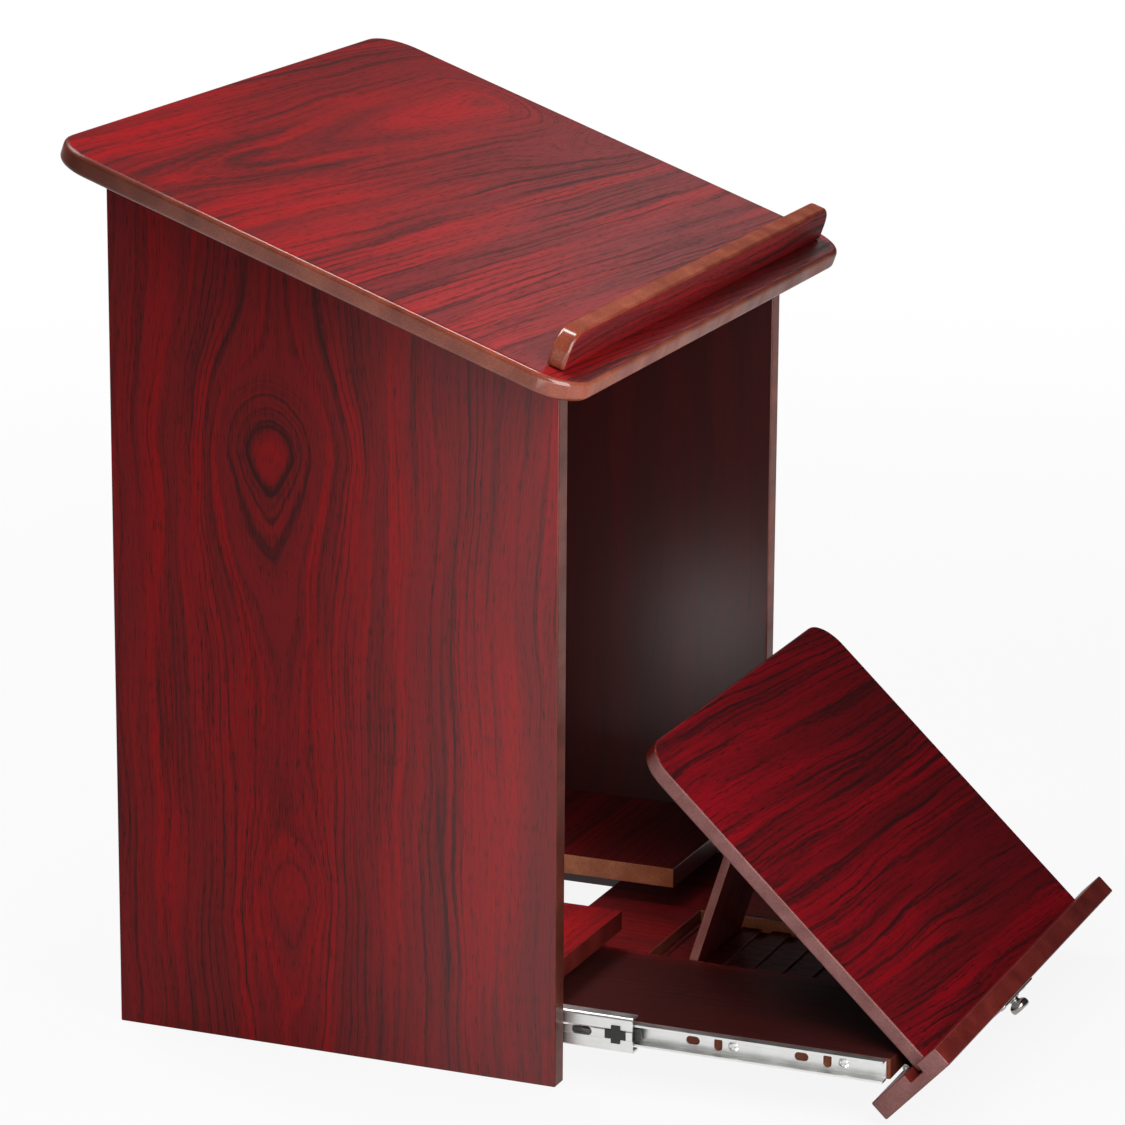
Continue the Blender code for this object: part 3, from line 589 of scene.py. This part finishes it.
addPiece("frontBoard", shape, restAt, finish, "book_rest", ["front_board"])

print("stage 6: prop leg")
leg = {"half": 0.038, "near": -0.1284, "far": -0.002, "drop": 0.00165, "thick": 0.0054, "edge": 0.0008,
       # the bright rose on its sideways edges is painted light
       "finish": {"ends": "rose"}}
shape = boardShape(rectangle(leg["half"], leg["near"], leg["far"]), leg["thick"], leg["edge"], 2)
finish = mahogany("legLaminate", legAt, restTurn + legTurn, "Y", "X", facingOf(legAt, (0, 0, 1)), 47.0,
                  **leg["finish"])
addPiece("propLeg", shape, legAt @ shift(z=-leg["drop"] - leg["thick"]), finish, "prop_leg", ["prop_leg"])

print("stage 7: metal and plastic")


def zincSteel(name):
    finish, wire, shader = newMaterial(name)
    x, y, z = objectAxes(wire)
    rolled = blur(y * 30, (z + x) * 1400, 3.0, 3.0)
    cloud = blur(y * 90, (z + x) * 90, 6.0, 3.0)
    feed(ramp(rolled * 0.5 + cloud * 0.5, [(0.25, (0.76, 0.76, 0.75)), (0.75, (0.97, 0.97, 0.95))]),
         shader, "Base Color")
    feed(0.24 + cloud * 0.2 + rolled * 0.06, shader, "Roughness")
    feed(wire.node("Bump", None, {"Strength": 0.06, "Distance": 0.0003, "Height": rolled}), shader, "Normal")
    shader.inputs["Metallic"].default_value = 1.0
    return finish


def darkMetal(name):
    finish, wire, shader = newMaterial(name)
    x, _, z = objectAxes(wire)
    cloud = blur(x * 160, z * 160, 4.0, 3.0)
    feed(ramp(cloud, [(0.3, (0.30, 0.290, 0.280)), (0.7, (0.52, 0.505, 0.490))]), shader, "Base Color")
    feed(0.14 + cloud * 0.16, shader, "Roughness")
    shader.inputs["Metallic"].default_value = 1.0
    return finish


def blackPlastic(name):
    finish, wire, shader = newMaterial(name)
    _, y, z = objectAxes(wire)
    fine = blur(y * 2600, z * 2600, 5.0, 2.0)
    feed(ramp(fine, [(0.2, (0.012, 0.012, 0.012)), (0.8, (0.032, 0.031, 0.030))]), shader, "Base Color")
    feed(0.42 + fine * 0.2, shader, "Roughness")
    feed(wire.node("Bump", None, {"Strength": 0.1, "Distance": 0.0002, "Height": fine}), shader, "Normal")
    return finish


def beechWood(name):
    finish, wire, shader = newMaterial(name)
    x, _, z = objectAxes(wire)
    fleck = blur(x * 900, z * 500, 8.0, 3.0)
    feed(ramp(fleck, [(0.3, (0.40, 0.25, 0.13)), (0.7, (0.62, 0.44, 0.27))]), shader, "Base Color")
    feed(0.5 + fleck * 0.2, shader, "Roughness")
    return finish


zinc, gunmetal = zincSteel("zincSteel"), darkMetal("gunmetal")
plastic, beech = blackPlastic("blackPlastic"), beechWood("beech")
backLaminate = mahogany("backLaminate", Matrix(), 0, "Z", "X", (0, 1, 0), 53.0)
for name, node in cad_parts.items():    # finishes of the CAD parts that stay
    if "dowel" in name:
        chosen = beech
    elif name.startswith("slide_stop"):
        chosen = plastic
    elif name.startswith("slide_") or name.endswith("_pin"):
        chosen = zinc
    elif name.startswith("pull_") or "hinge" in name:
        chosen = gunmetal
    else:
        chosen = backLaminate
    for place in node.material_slots:
        place.material = chosen

# oval plate and a turned knob below the lip; the knob's head is given from its tip, its stem from the plate
pull = {"half": 0.0265, "tall": 0.014, "plate": 0.002, "corner": 0.7, "edge": 0.0006, "drop": 0.0215, "gap": 0.0003,
        "radius": 0.006, "length": 0.0078, "neck": 0.0028,
        "head": [(0, 0.0008), (0.55, 0.0007), (0.68, 0.0003), (0.78, 0), (0.90, 0.0003), (0.98, 0.0011),
                 (1, 0.0022), (0.97, 0.0034), (0.86, 0.0045), (0.66, 0.0053)],
        "collar": [(1.1, 0.0057), (1, 0.0062)],
        "stem": [(1, 0.0012), (1.2, 0.0005), (1.6, 0.0002), (1.6, 0), (0, 0)],
        "screwAt": 0.0185, "screwRadius": 0.0024, "screwTall": 0.0008}
pullAt = restAt @ shift(y=front - pull["gap"], z=lip - pull["drop"]) @ standing
tall = pull["tall"] / 2
shape = boardShape(rectangle(pull["half"], -tall, tall, tall * pull["corner"], tall * pull["corner"]),
                   pull["plate"], pull["edge"], 3)
addPiece("pullPlate", shape, pullAt, gunmetal, "book_rest", ["pull_backplate"])
profile = [(pull["radius"] * share, pull["length"] - below) for share, below in pull["head"]]
profile += [(pull["neck"] * share, pull["length"] - below) for share, below in pull["collar"]]
profile += [(pull["neck"] * share, above) for share, above in pull["stem"]]
addPiece("pullKnob", turnedShape(profile, 48), pullAt @ shift(z=pull["plate"] + pull["gap"]), gunmetal,
         "book_rest", ["pull_knob"])
for side, sign in (("left", -1), ("right", 1)):
    addPiece(f"pullScrew_{side}", screwShape(pull["screwRadius"], pull["screwTall"]),
             pullAt @ shift(x=sign * pull["screwAt"], z=pull["plate"]), gunmetal, "book_rest")

# screws on the inner slide members and a bumper on the middle ones
slideScrew = {"face": 0.1500, "high": 0.0308, "along": (-0.2314, -0.2954), "radius": 0.0030, "tall": 0.0009}
bumper = {"wall": 0.161, "near": 0.0046, "far": 0.0090, "front": -0.1785, "back": -0.1745, "half": 0.0042,
          "edge": 0.0012}
for side, sign in (("left", -1), ("right", 1)):
    outward = Matrix.Rotation(sign * math.pi / 2, 4, "Y")
    for count, along in enumerate(slideScrew["along"]):
        addPiece(f"slideScrew_{side}_{count}", screwShape(slideScrew["radius"], slideScrew["tall"]),
                 standAt @ shift(sign * slideScrew["face"], along, slideScrew["high"]) @ outward, zinc, "tray")
    depths = sorted(sign * (bumper["wall"] - bumper[key]) for key in ("near", "far"))
    shape = boxShape((depths[0], bumper["front"], slideScrew["high"] - bumper["half"]),
                     (depths[1], bumper["back"], slideScrew["high"] + bumper["half"]))
    roundEdges(shape, shape.edges[:], bumper["edge"], 3)
    addPiece(f"slideBumper_{side}", shape, standAt, plastic, "slide_runners")

print("stage 8: floor, light and camera")
studio = {"paper": (0.45, 0.45, 0.45), "rough": 0.9, "size": 14, "sky": 0.04, "near": 0.45, "far": 2.2,
          "whiteNear": 0.90, "whiteMore": 0.10, "mirrored": 0.75}
shape = bmesh.new()
bmesh.ops.create_grid(shape, x_segments=1, y_segments=1, size=studio["size"])
mesh = bpy.data.meshes.new("floor")
shape.to_mesh(mesh)
shape.free()
floorPiece = bpy.data.objects.new("floor", mesh)
scene.collection.objects.link(floorPiece)
finish, wire, shader = newMaterial("floorPaper")
shader.inputs["Base Color"].default_value = (*studio["paper"], 1)
shader.inputs["Roughness"].default_value = studio["rough"]
shader.inputs["Specular IOR Level"].default_value = 0.0
spot = wire.node("VectorMath", {"operation": "LENGTH"}, {0: wire.node("TexCoord", out="Object")}, out="Value")
path = wire.node("LightPath", out="Is Camera Ray")    # the paper looks white and still takes the shadow
white = studio["whiteNear"] + fade(spot, studio["near"], studio["far"]) * studio["whiteMore"]
seen = path * white + path.other("Is Glossy Ray") * studio["mirrored"]
glow = wire.node("Emission", None, {"Color": (1, 1, 1, 1), "Strength": 1.0})
paper = Wire(wire.tree, shader.outputs["BSDF"])
both = wire.node("MixShader", None, {0: seen, 1: paper, 2: glow})
feed(both, wire.tree.nodes["Material Output"], "Surface")
mesh.materials.append(finish)

world = bpy.data.worlds.new("studio")
scene.world = world
world.use_nodes = True
sky = world.node_tree.nodes["Background"]
sky.inputs["Color"].default_value = (1, 1, 1, 1)
sky.inputs["Strength"].default_value = studio["sky"]

# soft boxes: place, what they point at, size, power and spread
lamps = {
    "overheadLight": ((0.05, 1.05, 2.00), (0, 0.10, 0.45), (1.2, 1.0), 52, 180),
    "sparkLight": ((-0.10, -0.02, 1.95), (-0.10, 0.10, 0.40), (0.32, 0.45), 9.0, 180),
    "sideLight": ((-0.44, -0.42, 0.44), (-0.15, 0.0, 0.20), (0.35, 0.5), 4.0, 180),
    "lowLight": ((-1.00, -0.30, 0.16), (0, -0.05, 0.20), (0.8, 0.16), 1.1, 180),
    "sheenLight": ((1.90, -0.05, 1.48), (0, 0.1, 0.45), (1.0, 0.7), 3.2, 180),
    "insideLight": ((-0.115, 0.100, 0.10), (0.16, 0.0, 0.18), (0.07, 0.07), 0.045, 180),
    "trayLight": ((-0.07, 0.08, 0.37), (-0.10, 0.06, 0.06), (0.14, 0.14), 0.15, 60),
}
for name, (place, target, size, power, spread) in lamps.items():
    light = bpy.data.lights.new(name, "AREA")
    light.shape = "RECTANGLE"
    light.size, light.size_y = size
    light.energy = power
    light.spread = math.radians(spread)
    holder = bpy.data.objects.new(name, light)
    holder.location = place
    holder.rotation_euler = (Vector(target) - Vector(place)).to_track_quat("-Z", "Y").to_euler()
    holder.visible_camera = False    # lamps stay out of the picture
    scene.collection.objects.link(holder)

view = {"lens": 151.67, "sensor": 36, "azimuth": -67.70, "elevation": 14.79, "roll": 0.39,
        "at": (-2.45276, -0.96775, 0.95188)}
az, el, roll = (math.radians(view[key]) for key in ("azimuth", "elevation", "roll"))
away = Vector((math.sin(az) * math.cos(el), -math.cos(az) * math.cos(el), math.sin(el)))
right = Vector((math.cos(az), math.sin(az), 0))
up = away.cross(right)
right, up = right * math.cos(roll) + up * math.sin(roll), up * math.cos(roll) - right * math.sin(roll)
lens = bpy.data.cameras.new("camera")
lens.lens = view["lens"]
lens.sensor_width = view["sensor"]
camera = bpy.data.objects.new("camera", lens)
camera.matrix_world = Matrix((right, up, away)).transposed().to_4x4()
camera.location = view["at"]
scene.collection.objects.link(camera)
scene.camera = camera
